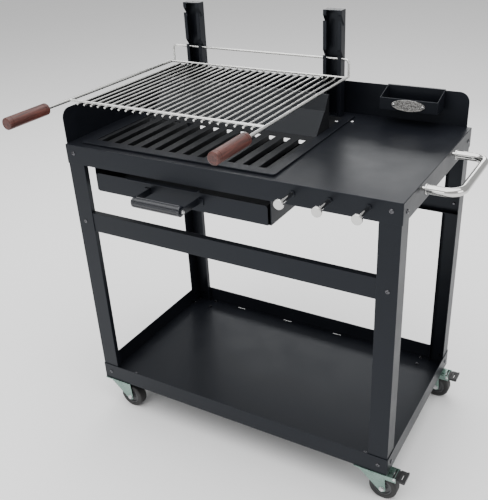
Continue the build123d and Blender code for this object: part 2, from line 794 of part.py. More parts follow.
# Casters: plate with ball race, trailing fork, wheel, axle and a brake on the right pair
crown_z = caster_height - caster_plate_thickness - race_height - swivel_gap - crown_thickness
crown_top = crown_z + crown_thickness
pedal_pivot_z = caster_height - pedal_drop
fork_inner = wheel_width / 2 + fork_gap
fork_outer = fork_inner + fork_sheet
for corner, (cx, cy) in caster_places.items():
    plate_z = caster_height - caster_plate_thickness
    with BuildPart() as caster_plate:
        x0 = cx - caster_plate_length / 2
        y0 = cy - caster_plate_width / 2
        x1 = cx + caster_plate_length / 2
        y1 = cy + caster_plate_width / 2
        block(x0, x1, y0, y1, plate_z, caster_height)
        fillet(caster_plate.edges().filter_by(Axis.Z), radius=3 * bend_radius)
        rod((cx, cy, plate_z), (0, 0, -1), race_radius, race_height)
        for x, y in bolt_points((cx, cy)):
            start = (x, y, plate_z)
            rod(start, (0, 0, 1), screw_radius + screw_fit, caster_plate_thickness, Mode.SUBTRACT)
    finish(caster_plate, f"caster_plate_{corner}")

    braked = corner.endswith("right")
    wheel_x = cx + caster_trail
    with BuildPart() as fork:
        rod((cx, cy, crown_z), (0, 0, 1), crown_radius, crown_thickness)
        reach_x = (cx - cheek_reach, cx + cheek_reach)
        block(*reach_x, cy - fork_outer, cy + fork_outer, crown_z, crown_top)
        for y0 in (cy - fork_outer, cy + fork_inner):
            cheek_plane = Plane.XZ.offset(-(front + y0 + fork_sheet))
            with BuildSketch(cheek_plane):
                with Locations((left + wheel_x, wheel_radius)):
                    Circle(fork_tip_radius)
                with Locations((left + cx, crown_z + crown_thickness / 2)):
                    Rectangle(2 * cheek_reach, crown_thickness)
                make_hull()
            extrude(amount=fork_sheet)
        start = (wheel_x, cy - fork_outer, wheel_radius)
        rod(start, (0, 1, 0), axle_radius + axle_fit, 2 * fork_outer, Mode.SUBTRACT)
        if braked:
            ear_x = cx + pedal_pivot_x
            ear_end = ear_x + ear_tail
            for y0 in (cy - fork_outer, cy + fork_inner):
                block(wheel_x, ear_end, y0, y0 + fork_sheet, crown_top - ear_height, crown_top)
            plate_end = ear_x - ear_tail - running_gap
            block(wheel_x, plate_end, cy - fork_outer, cy + fork_outer, crown_z, crown_top)
            pin_start = (ear_x, cy - fork_outer, pedal_pivot_z)
            rod(pin_start, (0, 1, 0), pedal_pin_radius, 2 * fork_outer)
    finish(fork, f"fork_{corner}")

    with BuildPart() as wheel:
        rod((wheel_x, cy - wheel_width / 2, wheel_radius), (0, 1, 0), wheel_radius, wheel_width)
        chamfer(wheel.edges().filter_by(GeomType.CIRCLE), length=2 * bend_radius)
        start = (wheel_x, cy - wheel_width / 2, wheel_radius)
        rod(start, (0, 1, 0), axle_radius + axle_fit, wheel_width, Mode.SUBTRACT)
    finish(wheel, f"wheel_{corner}")

    with BuildPart() as axle:
        rod((wheel_x, cy - fork_outer, wheel_radius), (0, 1, 0), axle_radius, 2 * fork_outer)
        for y, direction in ((cy - fork_outer, -1), (cy + fork_outer, 1)):
            start = (wheel_x, y, wheel_radius)
            rod(start, (0, direction, 0), axle_head_radius, axle_head)
    finish(axle, f"axle_{corner}")

    if braked:
        with BuildPart() as pedal:
            x0 = cx + pedal_pivot_x - ear_tail
            x1 = x0 + pedal_length
            inner = fork_inner - running_gap
            low = pedal_pivot_z - pedal_thickness / 2
            high = pedal_pivot_z + pedal_thickness / 2
            block(x0, x1, cy - inner, cy + inner, low, high)
            tread_x = cx + pedal_pivot_x + tread_start
            half = pedal_width / 2
            block(tread_x, x1, cy - half, cy + half, low, high)
            pin_start = (cx + pedal_pivot_x, cy - half, pedal_pivot_z)
            rod(pin_start, (0, 1, 0), pedal_pin_radius + axle_fit, pedal_width, Mode.SUBTRACT)
        finish(pedal, f"brake_pedal_{corner}")

# Screws at the leg corners, as one group
def screw(point, direction):
    """Round-headed screw, from the underside of its head along a direction."""
    back = tuple(-value for value in direction)
    rod(point, direction, screw_radius, 4 * sheet)
    rod(point, back, screw_head_radius, screw_head_height)


with BuildPart() as frame_screws:
    for name, (corner_x, corner_y, sign_x, sign_y) in leg_corners.items():
        screw_x = face_screw_inset if sign_x > 0 else table_length - face_screw_inset
        side_y = side_screw_inset if sign_y > 0 else table_depth - side_screw_inset
        outer_y = corner_y - sign_y * sheet
        outer_x = corner_x - sign_x * sheet
        lapped_y = outer_y if sign_y > 0 else outer_y + sheet
        lapped_x = outer_x - sheet if sign_x > 0 else outer_x
        screw((screw_x, lapped_y, skirt_screw_z), (0, sign_y, 0))
        screw((lapped_x, side_y, side_screw_z), (sign_x, 0, 0))
        screw((screw_x, outer_y, shelf_screw_z), (0, sign_y, 0))
        screw((outer_x, side_y, shelf_screw_z), (sign_x, 0, 0))
        screw((screw_x, corner_y, rail_screw_z), (0, sign_y, 0))
finish(frame_screws, "frame_screws")

with BuildPart() as caster_bolts:
    bolt_length = sheet + caster_plate_thickness + screw_head_height
    for place in caster_places.values():
        for x, y in bolt_points(place):
            top = shelf_z + sheet
            rod((x, y, top), (0, 0, 1), screw_head_radius, screw_head_height)
            rod((x, y, top), (0, 0, -1), screw_radius, bolt_length)
            nut_top = caster_height - caster_plate_thickness
            rod((x, y, nut_top), (0, 0, -1), screw_head_radius, screw_head_height)
finish(caster_bolts, "caster_bolts")

# Dome bolts that hold the fire tray
tray_bolt_y = floor_rear - tray_bolt_setback
with BuildPart() as tray_bolts:
    for x in (rim_inner_left + tray_bolt_inset, rim_inner_right - tray_bolt_inset):
        floor_top = table_height + sheet
        rod((x, tray_bolt_y, floor_top), (0, 0, 1), screw_head_radius, screw_head_height)
    outer_y = tray_bolt_y + tray_bolt_step
    for x in (rim_x - tray_bolt_inset, rim_right + tray_bolt_inset):
        rod((x, outer_y, table_height), (0, 0, 1), screw_head_radius, screw_head_height)
finish(tray_bolts, "tray_bolts")
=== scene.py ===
import bpy
import json
import math
from mathutils import Matrix, Vector


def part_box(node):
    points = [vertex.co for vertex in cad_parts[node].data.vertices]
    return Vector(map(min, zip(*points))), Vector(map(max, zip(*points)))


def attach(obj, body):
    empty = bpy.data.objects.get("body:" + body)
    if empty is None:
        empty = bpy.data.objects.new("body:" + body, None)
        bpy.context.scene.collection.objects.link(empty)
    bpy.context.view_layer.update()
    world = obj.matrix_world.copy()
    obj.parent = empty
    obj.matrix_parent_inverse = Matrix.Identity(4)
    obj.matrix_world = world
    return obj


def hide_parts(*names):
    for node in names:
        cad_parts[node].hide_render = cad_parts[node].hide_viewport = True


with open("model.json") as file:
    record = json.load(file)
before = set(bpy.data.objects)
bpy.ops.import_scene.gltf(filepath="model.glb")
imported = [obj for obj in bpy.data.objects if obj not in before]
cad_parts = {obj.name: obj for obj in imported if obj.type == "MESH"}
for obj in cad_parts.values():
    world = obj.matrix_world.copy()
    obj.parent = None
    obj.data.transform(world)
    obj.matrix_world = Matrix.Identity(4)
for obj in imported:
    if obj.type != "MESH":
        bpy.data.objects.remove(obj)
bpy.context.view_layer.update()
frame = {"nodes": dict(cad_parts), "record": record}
nodes = frame["nodes"]
bodyOf = {}
for bodyName, members in frame["record"]["behaviour"]["bodies"].items():
    for member in members:
        bodyOf[member] = bodyName
corners = ("front_left", "front_right", "rear_left", "rear_right")
print("frame loaded,", len(nodes), "parts")


# Selecting, editing and finishing a piece

def pick(piece):
    if bpy.context.object and bpy.context.object.mode != "OBJECT":
        bpy.ops.object.mode_set(mode="OBJECT")
    bpy.ops.object.select_all(action="DESELECT")
    piece.select_set(True)
    bpy.context.view_layer.objects.active = piece


def startPiece(name):
    # the primitive that was just added
    piece = bpy.context.object
    piece.name = name
    bpy.ops.object.transform_apply(location=True, rotation=True, scale=True)
    return piece


def selectFaces(piece, wanted):
    pick(piece)
    bpy.ops.object.mode_set(mode="EDIT")
    bpy.ops.mesh.select_mode(type="FACE")
    bpy.ops.mesh.select_all(action="DESELECT")
    bpy.ops.object.mode_set(mode="OBJECT")
    for face in piece.data.polygons:
        face.select = wanted(face)
    bpy.ops.object.mode_set(mode="EDIT")


def selectEdges(piece, wanted):
    pick(piece)
    bpy.ops.object.mode_set(mode="EDIT")
    bpy.ops.mesh.select_mode(type="EDGE")
    bpy.ops.mesh.select_all(action="DESELECT")
    bpy.ops.object.mode_set(mode="OBJECT")
    points = piece.data.vertices
    for edge in piece.data.edges:
        edge.select = wanted(points[edge.vertices[0]].co, points[edge.vertices[1]].co)
    bpy.ops.object.mode_set(mode="EDIT")


def leaveEdit():
    bpy.ops.object.mode_set(mode="OBJECT")


def endSteps(piece, direction, steps):
    # insets an end face again and again, which turns a cylinder as on a lathe
    selectFaces(piece, lambda face: face.normal.dot(direction) > 0.999)
    for inset, depth in steps:
        bpy.ops.mesh.inset(thickness=inset, depth=depth, use_even_offset=True)
    leaveEdit()


def softEdges(piece, width, segments=2, angle=35):
    pick(piece)
    bevel = piece.modifiers.new("edgeBevel", "BEVEL")
    bevel.width = width
    bevel.segments = segments
    bevel.limit_method = "ANGLE"
    bevel.angle_limit = math.radians(angle)
    bevel.use_clamp_overlap = False
    bpy.ops.object.modifier_apply(modifier="edgeBevel")


def smooth(piece, angle=32):
    pick(piece)
    bpy.ops.object.shade_smooth_by_angle(angle=math.radians(angle))
    weight = piece.modifiers.new("faceWeight", "WEIGHTED_NORMAL")
    weight.keep_sharp = True
    weight.weight = 90
    bpy.ops.object.modifier_apply(modifier="faceWeight")


def paint(piece, material):
    piece.data.materials.clear()
    piece.data.materials.append(material)


def finishPiece(piece, body, slotName, material, *replaced):
    paint(piece, material)
    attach(piece, body)
    if replaced:
        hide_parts(*replaced)
    return piece


def copyOf(source, name, matrix):
    # a copy with its own mesh, put in place
    piece = bpy.data.objects.new(name, source.data.copy())
    bpy.context.scene.collection.objects.link(piece)
    piece.data.transform(matrix)
    if matrix.determinant() < 0:
        piece.data.flip_normals()
    return piece


def joinPieces(pieces, name):
    pick(pieces[0])
    for piece in pieces[1:]:
        piece.select_set(True)
    bpy.ops.object.join()
    pieces[0].name = name
    return pieces[0]


def dropSource(piece):
    bpy.data.objects.remove(piece)


def lowHigh(node):
    low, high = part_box(node)
    return Vector(low), Vector(high)


def camelCorner(corner):
    return "".join(word.capitalize() for word in corner.split("_"))


def turnTo(direction):
    # turns +Z to a direction
    return Vector((0, 0, 1)).rotation_difference(Vector(direction)).to_matrix().to_4x4()


def addTurned(name, centre, direction, radius, length, sides, topSteps, bottomSteps=()):
    # a cylinder along a direction, with its two ends stepped
    axis = Vector(direction).normalized()
    turn = turnTo(axis).to_euler()
    bpy.ops.object.select_all(action="DESELECT")
    bpy.ops.mesh.primitive_cylinder_add(
        vertices=sides, radius=radius, depth=length, location=centre, rotation=turn
    )
    piece = startPiece(name)
    endSteps(piece, axis, topSteps)
    if bottomSteps:
        endSteps(piece, -axis, bottomSteps)
    return piece


def addBlock(name, low, high):
    low, high = Vector(low), Vector(high)
    bpy.ops.object.select_all(action="DESELECT")
    bpy.ops.mesh.primitive_cube_add(size=1, location=(low + high) / 2, scale=high - low)
    return startPiece(name)


# Shader groups, built once and shared by the materials

def newGroup(name, inputs, outputs):
    group = bpy.data.node_groups.new(name, "ShaderNodeTree")
    for label, kind, value in inputs:
        socket = group.interface.new_socket(name=label, in_out="INPUT", socket_type=kind)
        socket.default_value = value
    for label, kind in outputs:
        group.interface.new_socket(name=label, in_out="OUTPUT", socket_type=kind)
    entry = group.nodes.new("NodeGroupInput")
    leave = group.nodes.new("NodeGroupOutput")
    return group, entry, leave


def addNode(tree, kind, settings=None, values=None):
    node = tree.nodes.new(kind)
    for key, value in (settings or {}).items():
        setattr(node, key, value)
    for key, value in (values or {}).items():
        node.inputs[key].default_value = value
    return node


def makeGrainGroup():
    # fine bumps over broad, faint waves, for paint, castings and mouldings
    group, entry, leave = newGroup(
        "fineGrain",
        [
            ("Vector", "NodeSocketVector", (0, 0, 0)),
            ("Grain Scale", "NodeSocketFloat", 900.0),
            ("Wave Scale", "NodeSocketFloat", 14.0),
            ("Bump", "NodeSocketFloat", 0.1),
        ],
        [("Shade", "NodeSocketFloat"), ("Speckle", "NodeSocketFloat"), ("Normal", "NodeSocketVector")],
    )
    link = group.links.new
    fine = addNode(group, "ShaderNodeTexNoise", values={"Detail": 2.0, "Roughness": 0.5})
    broad = addNode(group, "ShaderNodeTexNoise", values={"Detail": 4.0, "Roughness": 0.6})
    link(entry.outputs["Vector"], fine.inputs["Vector"])
    link(entry.outputs["Vector"], broad.inputs["Vector"])
    link(entry.outputs["Grain Scale"], fine.inputs["Scale"])
    link(entry.outputs["Wave Scale"], broad.inputs["Scale"])
    bump = addNode(group, "ShaderNodeBump", values={"Distance": 0.0006})
    link(entry.outputs["Bump"], bump.inputs["Strength"])
    link(fine.outputs["Fac"], bump.inputs["Height"])
    link(broad.outputs["Fac"], leave.inputs["Shade"])
    link(fine.outputs["Fac"], leave.inputs["Speckle"])
    link(bump.outputs["Normal"], leave.inputs["Normal"])
    return group


def makeEdgeSheenGroup():
    # a painted highlight mask: bright along sharp edges, broken up by noise
    group, entry, leave = newGroup(
        "edgeSheenGroup",
        [
            ("Vector", "NodeSocketVector", (0, 0, 0)),
            ("Width", "NodeSocketFloat", 0.001),
            ("Amount", "NodeSocketFloat", 0.5),
        ],
        [("Mask", "NodeSocketFloat")],
    )
    link = group.links.new
    soft = addNode(group, "ShaderNodeBevel", {"samples": 4})
    sharp = addNode(group, "ShaderNodeNewGeometry")
    match = addNode(group, "ShaderNodeVectorMath", {"operation": "DOT_PRODUCT"})
    edge = addNode(group, "ShaderNodeMapRange", values={1: 0.998, 2: 0.9, 3: 0.0, 4: 1.0})
    patch = addNode(group, "ShaderNodeTexNoise", values={"Scale": 60.0, "Detail": 5.0})
    rough = addNode(group, "ShaderNodeMapRange", values={1: 0.42, 2: 0.6, 3: 0.15, 4: 1.0})
    broken = addNode(group, "ShaderNodeMath", {"operation": "MULTIPLY"})
    amount = addNode(group, "ShaderNodeMath", {"operation": "MULTIPLY", "use_clamp": True})
    link(entry.outputs["Width"], soft.inputs["Radius"])
    link(soft.outputs["Normal"], match.inputs[0])
    link(sharp.outputs["Normal"], match.inputs[1])
    link(match.outputs["Value"], edge.inputs["Value"])
    link(entry.outputs["Vector"], patch.inputs["Vector"])
    link(patch.outputs["Fac"], rough.inputs["Value"])
    link(edge.outputs["Result"], broken.inputs[0])
    link(rough.outputs["Result"], broken.inputs[1])
    link(broken.outputs["Value"], amount.inputs[0])
    link(entry.outputs["Amount"], amount.inputs[1])
    link(amount.outputs["Value"], leave.inputs["Mask"])
    return group


fineGrain = makeGrainGroup()
edgeSheenGroup = makeEdgeSheenGroup()


def newMaterial(name):
    material = bpy.data.materials.new(name)
    material.use_nodes = True
    tree = material.node_tree
    shader = tree.nodes["Principled BSDF"]
    coordinates = addNode(tree, "ShaderNodeTexCoord")
    return material, tree, shader, coordinates.outputs["Object"]


def addGroup(tree, group, place, values):
    node = addNode(tree, "ShaderNodeGroup", {"node_tree": group}, values)
    tree.links.new(place, node.inputs["Vector"])
    return node


def mixColours(tree, mask, low, high):
    mix = addNode(tree, "ShaderNodeMix", {"data_type": "RGBA"}, {6: low, 7: high})
    tree.links.new(mask, mix.inputs["Factor"])
    return mix.outputs[2]


def spread(tree, mask, fromLow, fromHigh, low, high):
    span = addNode(tree, "ShaderNodeMapRange", values={1: fromLow, 2: fromHigh, 3: low, 4: high})
    tree.links.new(mask, span.inputs["Value"])
    return span.outputs["Result"]


def makeCoatedMetal(name, look):
    # powder coat: dark, faintly mottled, orange-peel bump, with a painted highlight paler on the folds and
    # edges
    material, tree, shader, place = newMaterial(name)
    grainValues = {"Grain Scale": look["grain"], "Wave Scale": 9.0, "Bump": look["bump"]}
    grain = addGroup(tree, fineGrain, place, grainValues)
    # painted highlight: the edge colour is mixed in along sharp edges
    wear = addGroup(tree, edgeSheenGroup, place, {"Width": 0.0012, "Amount": look["wear"]})
    mottled = mixColours(tree, grain.outputs["Shade"], look["dark"], look["light"])
    mix = addNode(tree, "ShaderNodeMix", {"data_type": "RGBA"}, {7: look["edge"]})
    tree.links.new(wear.outputs["Mask"], mix.inputs["Factor"])
    tree.links.new(mottled, mix.inputs[6])
    tree.links.new(mix.outputs[2], shader.inputs["Base Color"])
    rough = spread(tree, grain.outputs["Shade"], 0.3, 0.7, look["rough"] - 0.04, look["rough"] + 0.05)
    tree.links.new(rough, shader.inputs["Roughness"])
    tree.links.new(grain.outputs["Normal"], shader.inputs["Normal"])
    shader.inputs["Specular IOR Level"].default_value = look["shine"]
    shader.inputs["Specular Tint"].default_value = look["tint"]
    return material


def makeBareMetal(name, look):
    # bright metal with faint drawing lines along one axis and small stains
    material, tree, shader, place = newMaterial(name)
    lines = addNode(tree, "ShaderNodeMapping", values={"Scale": look["lines"]})
    tree.links.new(place, lines.inputs["Vector"])
    streak = addNode(tree, "ShaderNodeTexNoise", values={"Scale": 1.0, "Detail": 3.0})
    tree.links.new(lines.outputs["Vector"], streak.inputs["Vector"])
    grainValues = {"Grain Scale": 500.0, "Wave Scale": 22.0, "Bump": look["bump"]}
    grain = addGroup(tree, fineGrain, place, grainValues)
    colour = mixColours(tree, grain.outputs["Shade"], look["dark"], look["light"])
    tree.links.new(colour, shader.inputs["Base Color"])
    rough = spread(tree, streak.outputs["Fac"], 0.3, 0.7, look["rough"] * 0.7, look["rough"] * 1.35)
    tree.links.new(rough, shader.inputs["Roughness"])
    tree.links.new(grain.outputs["Normal"], shader.inputs["Normal"])
    shader.inputs["Metallic"].default_value = 1.0
    return material


def makeCastMetal(name, look):
    # pewter: pebbled relief with darker hollows
    material, tree, shader, place = newMaterial(name)
    pebble = addNode(
        tree, "ShaderNodeTexVoronoi", {"feature": "SMOOTH_F1"}, {"Scale": 420.0, "Smoothness": 0.6}
    )
    tree.links.new(place, pebble.inputs["Vector"])
    cloud = addNode(tree, "ShaderNodeTexNoise", values={"Scale": 160.0, "Detail": 4.0})
    tree.links.new(place, cloud.inputs["Vector"])
    hollow = addNode(tree, "ShaderNodeMath", {"operation": "MULTIPLY"})
    tree.links.new(pebble.outputs["Distance"], hollow.inputs[0])
    tree.links.new(cloud.outputs["Fac"], hollow.inputs[1])
    mask = spread(tree, hollow.outputs["Value"], 0.12, 0.36, 0.0, 1.0)
    colour = mixColours(tree, mask, look["light"], look["dark"])
    tree.links.new(colour, shader.inputs["Base Color"])
    rough = spread(tree, cloud.outputs["Fac"], 0.3, 0.7, look["rough"] - 0.08, look["rough"] + 0.1)
    tree.links.new(rough, shader.inputs["Roughness"])
    bump = addNode(tree, "ShaderNodeBump", values={"Strength": 0.7, "Distance": 0.0008})
    tree.links.new(mask, bump.inputs["Height"])
    tree.links.new(bump.outputs["Normal"], shader.inputs["Normal"])
    shader.inputs["Metallic"].default_value = 1.0
    return material


def makeTurnedWood(name, look):
    # long rings along the grip, darker pores, an oiled sheen
    material, tree, shader, place = newMaterial(name)
    stretch = addNode(tree, "ShaderNodeMapping", values={"Scale": (1.0, 0.06, 1.0)})
    tree.links.new(place, stretch.inputs["Vector"])
    warp = addNode(tree, "ShaderNodeTexNoise", values={"Scale": 180.0, "Detail": 6.0, "Distortion": 0.6})
    tree.links.new(stretch.outputs["Vector"], warp.inputs["Vector"])
    pores = addNode(tree, "ShaderNodeTexNoise", values={"Scale": 1400.0, "Detail": 2.0})
    tree.links.new(stretch.outputs["Vector"], pores.inputs["Vector"])
    ramp = addNode(tree, "ShaderNodeValToRGB")
    ramp.color_ramp.elements[0].position = 0.32
    ramp.color_ramp.elements[0].color = look["dark"]
    ramp.color_ramp.elements[1].position = 0.68
    ramp.color_ramp.elements[1].color = look["light"]
    tree.links.new(warp.outputs["Fac"], ramp.inputs["Fac"])
    poreMask = spread(tree, pores.outputs["Fac"], 0.56, 0.7, 0.0, 0.7)
    mix = addNode(tree, "ShaderNodeMix", {"data_type": "RGBA"}, {7: look["pore"]})
    tree.links.new(poreMask, mix.inputs["Factor"])
    tree.links.new(ramp.outputs["Color"], mix.inputs[6])
    tree.links.new(mix.outputs[2], shader.inputs["Base Color"])
    rough = spread(tree, warp.outputs["Fac"], 0.3, 0.7, 0.5, 0.38)
    tree.links.new(rough, shader.inputs["Roughness"])
    bump = addNode(tree, "ShaderNodeBump", values={"Strength": 0.25, "Distance": 0.0005})
    tree.links.new(pores.outputs["Fac"], bump.inputs["Height"])
    tree.links.new(bump.outputs["Normal"], shader.inputs["Normal"])
    return material


def makeMoulding(name, look):
    # rubber and plastics: dark, finely grained, with a painted highlight paler on the edges
    material, tree, shader, place = newMaterial(name)
    grainValues = {"Grain Scale": look["grain"], "Wave Scale": 30.0, "Bump": look["bump"]}
    grain = addGroup(tree, fineGrain, place, grainValues)
    # painted highlight: the edge colour is mixed in along sharp edges
    wear = addGroup(tree, edgeSheenGroup, place, {"Width": 0.0009, "Amount": look["wear"]})
    mottled = mixColours(tree, grain.outputs["Shade"], look["dark"], look["light"])
    mix = addNode(tree, "ShaderNodeMix", {"data_type": "RGBA"}, {7: look["edge"]})
    tree.links.new(wear.outputs["Mask"], mix.inputs["Factor"])
    tree.links.new(mottled, mix.inputs[6])
    tree.links.new(mix.outputs[2], shader.inputs["Base Color"])
    rough = spread(tree, grain.outputs["Speckle"], 0.3, 0.7, look["rough"] - 0.06, look["rough"] + 0.06)
    tree.links.new(rough, shader.inputs["Roughness"])
    tree.links.new(grain.outputs["Normal"], shader.inputs["Normal"])
    return material


coatLook = {
    "dark": (0.0042, 0.0048, 0.0068, 1),
    "light": (0.0075, 0.0084, 0.0115, 1),
    # edge: the colour of the painted highlight on the folds
    "edge": (0.026, 0.03, 0.038, 1),
    "rough": 0.36,
    "grain": 700.0,
    "bump": 0.1,
    "wear": 0.6,
    "shine": 0.22,
    "tint": (0.84, 0.91, 1.0, 1),
}
trayLook = dict(
    coatLook, dark=(0.006, 0.0062, 0.007, 1), light=(0.012, 0.0122, 0.013, 1), rough=0.42, bump=0.18
)
rodLook = {
    "dark": (0.62, 0.62, 0.6, 1),
    "light": (0.8, 0.8, 0.78, 1),
    "rough": 0.26,
    "lines": (300.0, 12.0, 300.0),
    "bump": 0.04,
}
chromeLook = dict(
    rodLook, dark=(0.52, 0.52, 0.51, 1), light=(0.66, 0.655, 0.64, 1), rough=0.1, bump=0.01
)
screwLook = dict(rodLook, dark=(0.5, 0.5, 0.51, 1), light=(0.72, 0.72, 0.73, 1), rough=0.24)
darkScrewLook = dict(rodLook, dark=(0.06, 0.06, 0.065, 1), light=(0.13, 0.13, 0.14, 1), rough=0.22)
zincLook = dict(
    rodLook,
    dark=(0.13, 0.21, 0.18, 1),
    light=(0.3, 0.4, 0.36, 1),
    rough=0.3,
    lines=(90.0, 90.0, 90.0),
    bump=0.08,
)
badgeLook = {"dark": (0.16, 0.155, 0.15, 1), "light": (0.56, 0.55, 0.53, 1), "rough": 0.38}
woodLook = {
    "dark": (0.03, 0.0085, 0.007, 1),
    "light": (0.105, 0.03, 0.022, 1),
    "pore": (0.012, 0.004, 0.003, 1),
}
gripLook = {
    "dark": (0.006, 0.007, 0.01, 1),
    "light": (0.012, 0.014, 0.02, 1),
    # edge: the colour of the painted highlight on the moulded edges
    "edge": (0.03, 0.034, 0.045, 1),
    "rough": 0.2,
    "grain": 400.0,
    "bump": 0.03,
    "wear": 0.3,
}
rubberLook = dict(
    gripLook, dark=(0.01, 0.01, 0.01, 1), light=(0.018, 0.018, 0.018, 1), rough=0.62, grain=1100.0, bump=0.25
)
pedalLook = dict(
    gripLook,
    dark=(0.008, 0.008, 0.009, 1),
    light=(0.014, 0.014, 0.015, 1),
    rough=0.45,
    grain=1300.0,
    bump=0.2,
)
hubLook = dict(pedalLook, dark=(0.035, 0.036, 0.038, 1), light=(0.06, 0.061, 0.064, 1))

blackCoat = makeCoatedMetal("blackPowderCoat", coatLook)
trayCoat = makeCoatedMetal("fireTrayCoat", trayLook)
rodSteel = makeBareMetal("drawnStainless", rodLook)
polished = makeBareMetal("polishedChrome", chromeLook)
screwSteel = makeBareMetal("brightScrews", screwLook)
darkScrews = makeBareMetal("blackenedScrews", darkScrewLook)
zincSteel = makeBareMetal("zincPlate", zincLook)
castMetal = makeCastMetal("castBadge", badgeLook)
gripWood = makeTurnedWood("oiledWood", woodLook)
glossGrip = makeMoulding("glossGrip", gripLook)
tyreRubber = makeMoulding("tyreRubber", rubberLook)
pedalPlastic = makeMoulding("pedalPlastic", pedalLook)
hubPlastic = makeMoulding("hubPlastic", hubLook)
slotMaterial = {
    "black_steel": blackCoat,
    "tray_steel": trayCoat,
    "stainless": rodSteel,
    "chrome": polished,
    "screw_steel": screwSteel,
    "turned_wood": gripWood,
    "gloss_black": glossGrip,
    "badge_metal": castMetal,
    "zinc_plate": zincSteel,
    "wheel_rubber": tyreRubber,
    "pedal_plastic": pedalPlastic,
}
slotOf = {entry["node"]: entry["material_slot"] for entry in frame["record"]["subparts"]}
print("materials ready,", len(slotMaterial))


# Folded sheet and bent wire: the CAD shape with its triangles merged and its edges rounded

mergeDistance = 0.000002


def softenedCopy(node, width):
    words = node.split("_")
    name = words[0] + "".join(word.capitalize() for word in words[1:]) + "Part"
    piece = copyOf(nodes[node], name, Matrix.Identity(4))
    pick(piece)
    bpy.ops.object.mode_set(mode="EDIT")
    bpy.ops.mesh.select_all(action="SELECT")
    bpy.ops.mesh.remove_doubles(threshold=mergeDistance)
    bpy.ops.mesh.dissolve_limited(angle_limit=math.radians(0.5))
    leaveEdit()
    if width:
        softEdges(piece, width)
    smooth(piece)
    return finishPiece(piece, bodyOf[node], slotOf[node], slotMaterial[slotOf[node]], node)


edgeWidths = {
    "sheet": 0.0005,   # folded 2 mm sheet
    "bar": 0.0008,     # flat bar and thick plate
    "wire": 0.0,       # rod and tube, already round
}
sheetNodes = [
    "table_top", "front_rail", "rear_rail", "shelf_floor", "shelf_walls", "left_panel", "back_panel",
    "tray_floor", "charcoal_plate", "fireback", "upright_left", "upright_right", "drawer_rail_left",
    "drawer_rail_right", "drawer_pan", "drawer_front", "heat_shield", "drawer_handle", "caddy",
]
sheetNodes += ["leg_" + corner for corner in corners]
sheetNodes += ["fork_" + corner for corner in corners]
sheetNodes += ["caster_plate_" + corner for corner in corners]
for node in sheetNodes:
    softenedCopy(node, edgeWidths["bar"] if node == "fireback" else edgeWidths["sheet"])
softenedCopy("fire_rim", edgeWidths["bar"])
for node in ("grate_side_bars", "grate_crossbars", "grate_rods", "grate_hoop", "handle_tube"):
    softenedCopy(node, edgeWidths["wire"])
print("sheet metal and wire done")


# Screws, bolts and nuts

screwShape = {
    "headRadius": 0.0055,
    "headHeight": 0.0025,
    "sides": 24,
    "domeSteps": 4,
    "socketRadius": 0.0019,
    "socketDepth": 0.0013,
    "shankRadius": 0.003,
    "shankLength": 0.008,
    "shankSides": 16,
}


def domeSteps(radius, height, count, endRadius):
    # inset and depth of each ring of a round head, down to a small flat
    steps = []
    lastRadius, lastHeight = radius, 0.0
    for index in range(1, count + 1):
        nextRadius = radius + (endRadius - radius) * index / count
        nextHeight = height * math.sqrt(max(0.0, 1 - (nextRadius / radius) ** 2))
        steps.append((lastRadius - nextRadius, nextHeight - lastHeight))
        lastRadius, lastHeight = nextRadius, nextHeight
    return steps


def makeScrewHead(radius, height):
    # round head on the origin, pointing up, with a socket
    wall = height * 0.35
    steps = domeSteps(radius, height - wall, screwShape["domeSteps"], screwShape["socketRadius"])
    steps += [(0.0001, -screwShape["socketDepth"]), (0.0006, -0.0003)]
    head = addTurned("screwHead", (0, 0, wall / 2), (0, 0, 1), radius, wall, screwShape["sides"], steps)
    smooth(head, 40)
    return head


def spotsOf(node):
    # the lower and upper corner of each separate solid in a node, found by its loose parts
    mesh = nodes[node].data
    parent = {}

    def root(key):
        while parent[key] != key:
            parent[key] = parent[parent[key]]
            key = parent[key]
        return key

    keys = [tuple(round(value, 6) for value in point.co) for point in mesh.vertices]
    for key in keys:
        parent.setdefault(key, key)
    for face in mesh.polygons:
        first = root(keys[face.vertices[0]])
        for index in face.vertices[1:]:
            parent[root(keys[index])] = first
    groups = {}
    for key in parent:
        groups.setdefault(root(key), []).append(Vector(key))
    boxes = []
    for points in groups.values():
        low = Vector([min(point[axis] for point in points) for axis in range(3)])
        high = Vector([max(point[axis] for point in points) for axis in range(3)])
        boxes.append((low, high))
    return sorted(boxes, key=lambda pair: tuple(round(value, 4) for value in pair[0]))


tableLow, tableHigh = lowHigh("table_top")
screwHead = makeScrewHead(screwShape["headRadius"], screwShape["headHeight"])
heads = []
for low, high in spotsOf("frame_screws"):
    size = high - low
    axis = min(range(3), key=lambda index: size[index])
    middle = (low + high) / 2
    outward = 1 if middle[axis] > (tableLow[axis] + tableHigh[axis]) / 2 else -1
    direction = Vector([outward if index == axis else 0 for index in range(3)])
    seat = middle.copy()
    seat[axis] = (high[axis] if outward > 0 else low[axis]) - outward * screwShape["headHeight"]
    heads.append(copyOf(screwHead, "head", Matrix.Translation(seat) @ turnTo(direction)))
    shank = addTurned(
        "shank", seat - direction * screwShape["shankLength"] / 2, direction, screwShape["shankRadius"],
        screwShape["shankLength"], screwShape["shankSides"], [], [(0.0006, 0.0), (0.0001, -0.0002)],
    )
    heads.append(shank)
frameScrews = joinPieces(heads, "frameScrewSet")
finishPiece(frameScrews, "frame", "screw_steel", darkScrews, "frame_screws")

heads = []
for low, high in spotsOf("tray_bolts"):
    middle = (low + high) / 2
    seat = Vector((middle.x, middle.y, low.z))
    heads.append(copyOf(screwHead, "head", Matrix.Translation(seat)))
trayBolts = joinPieces(heads, "trayBoltSet")
finishPiece(trayBolts, "frame", "screw_steel", screwSteel, "tray_bolts")
dropSource(screwHead)
print("screws done")


# Casters: tyre, hub, kingpin, race cover, axle nuts and plate bolts

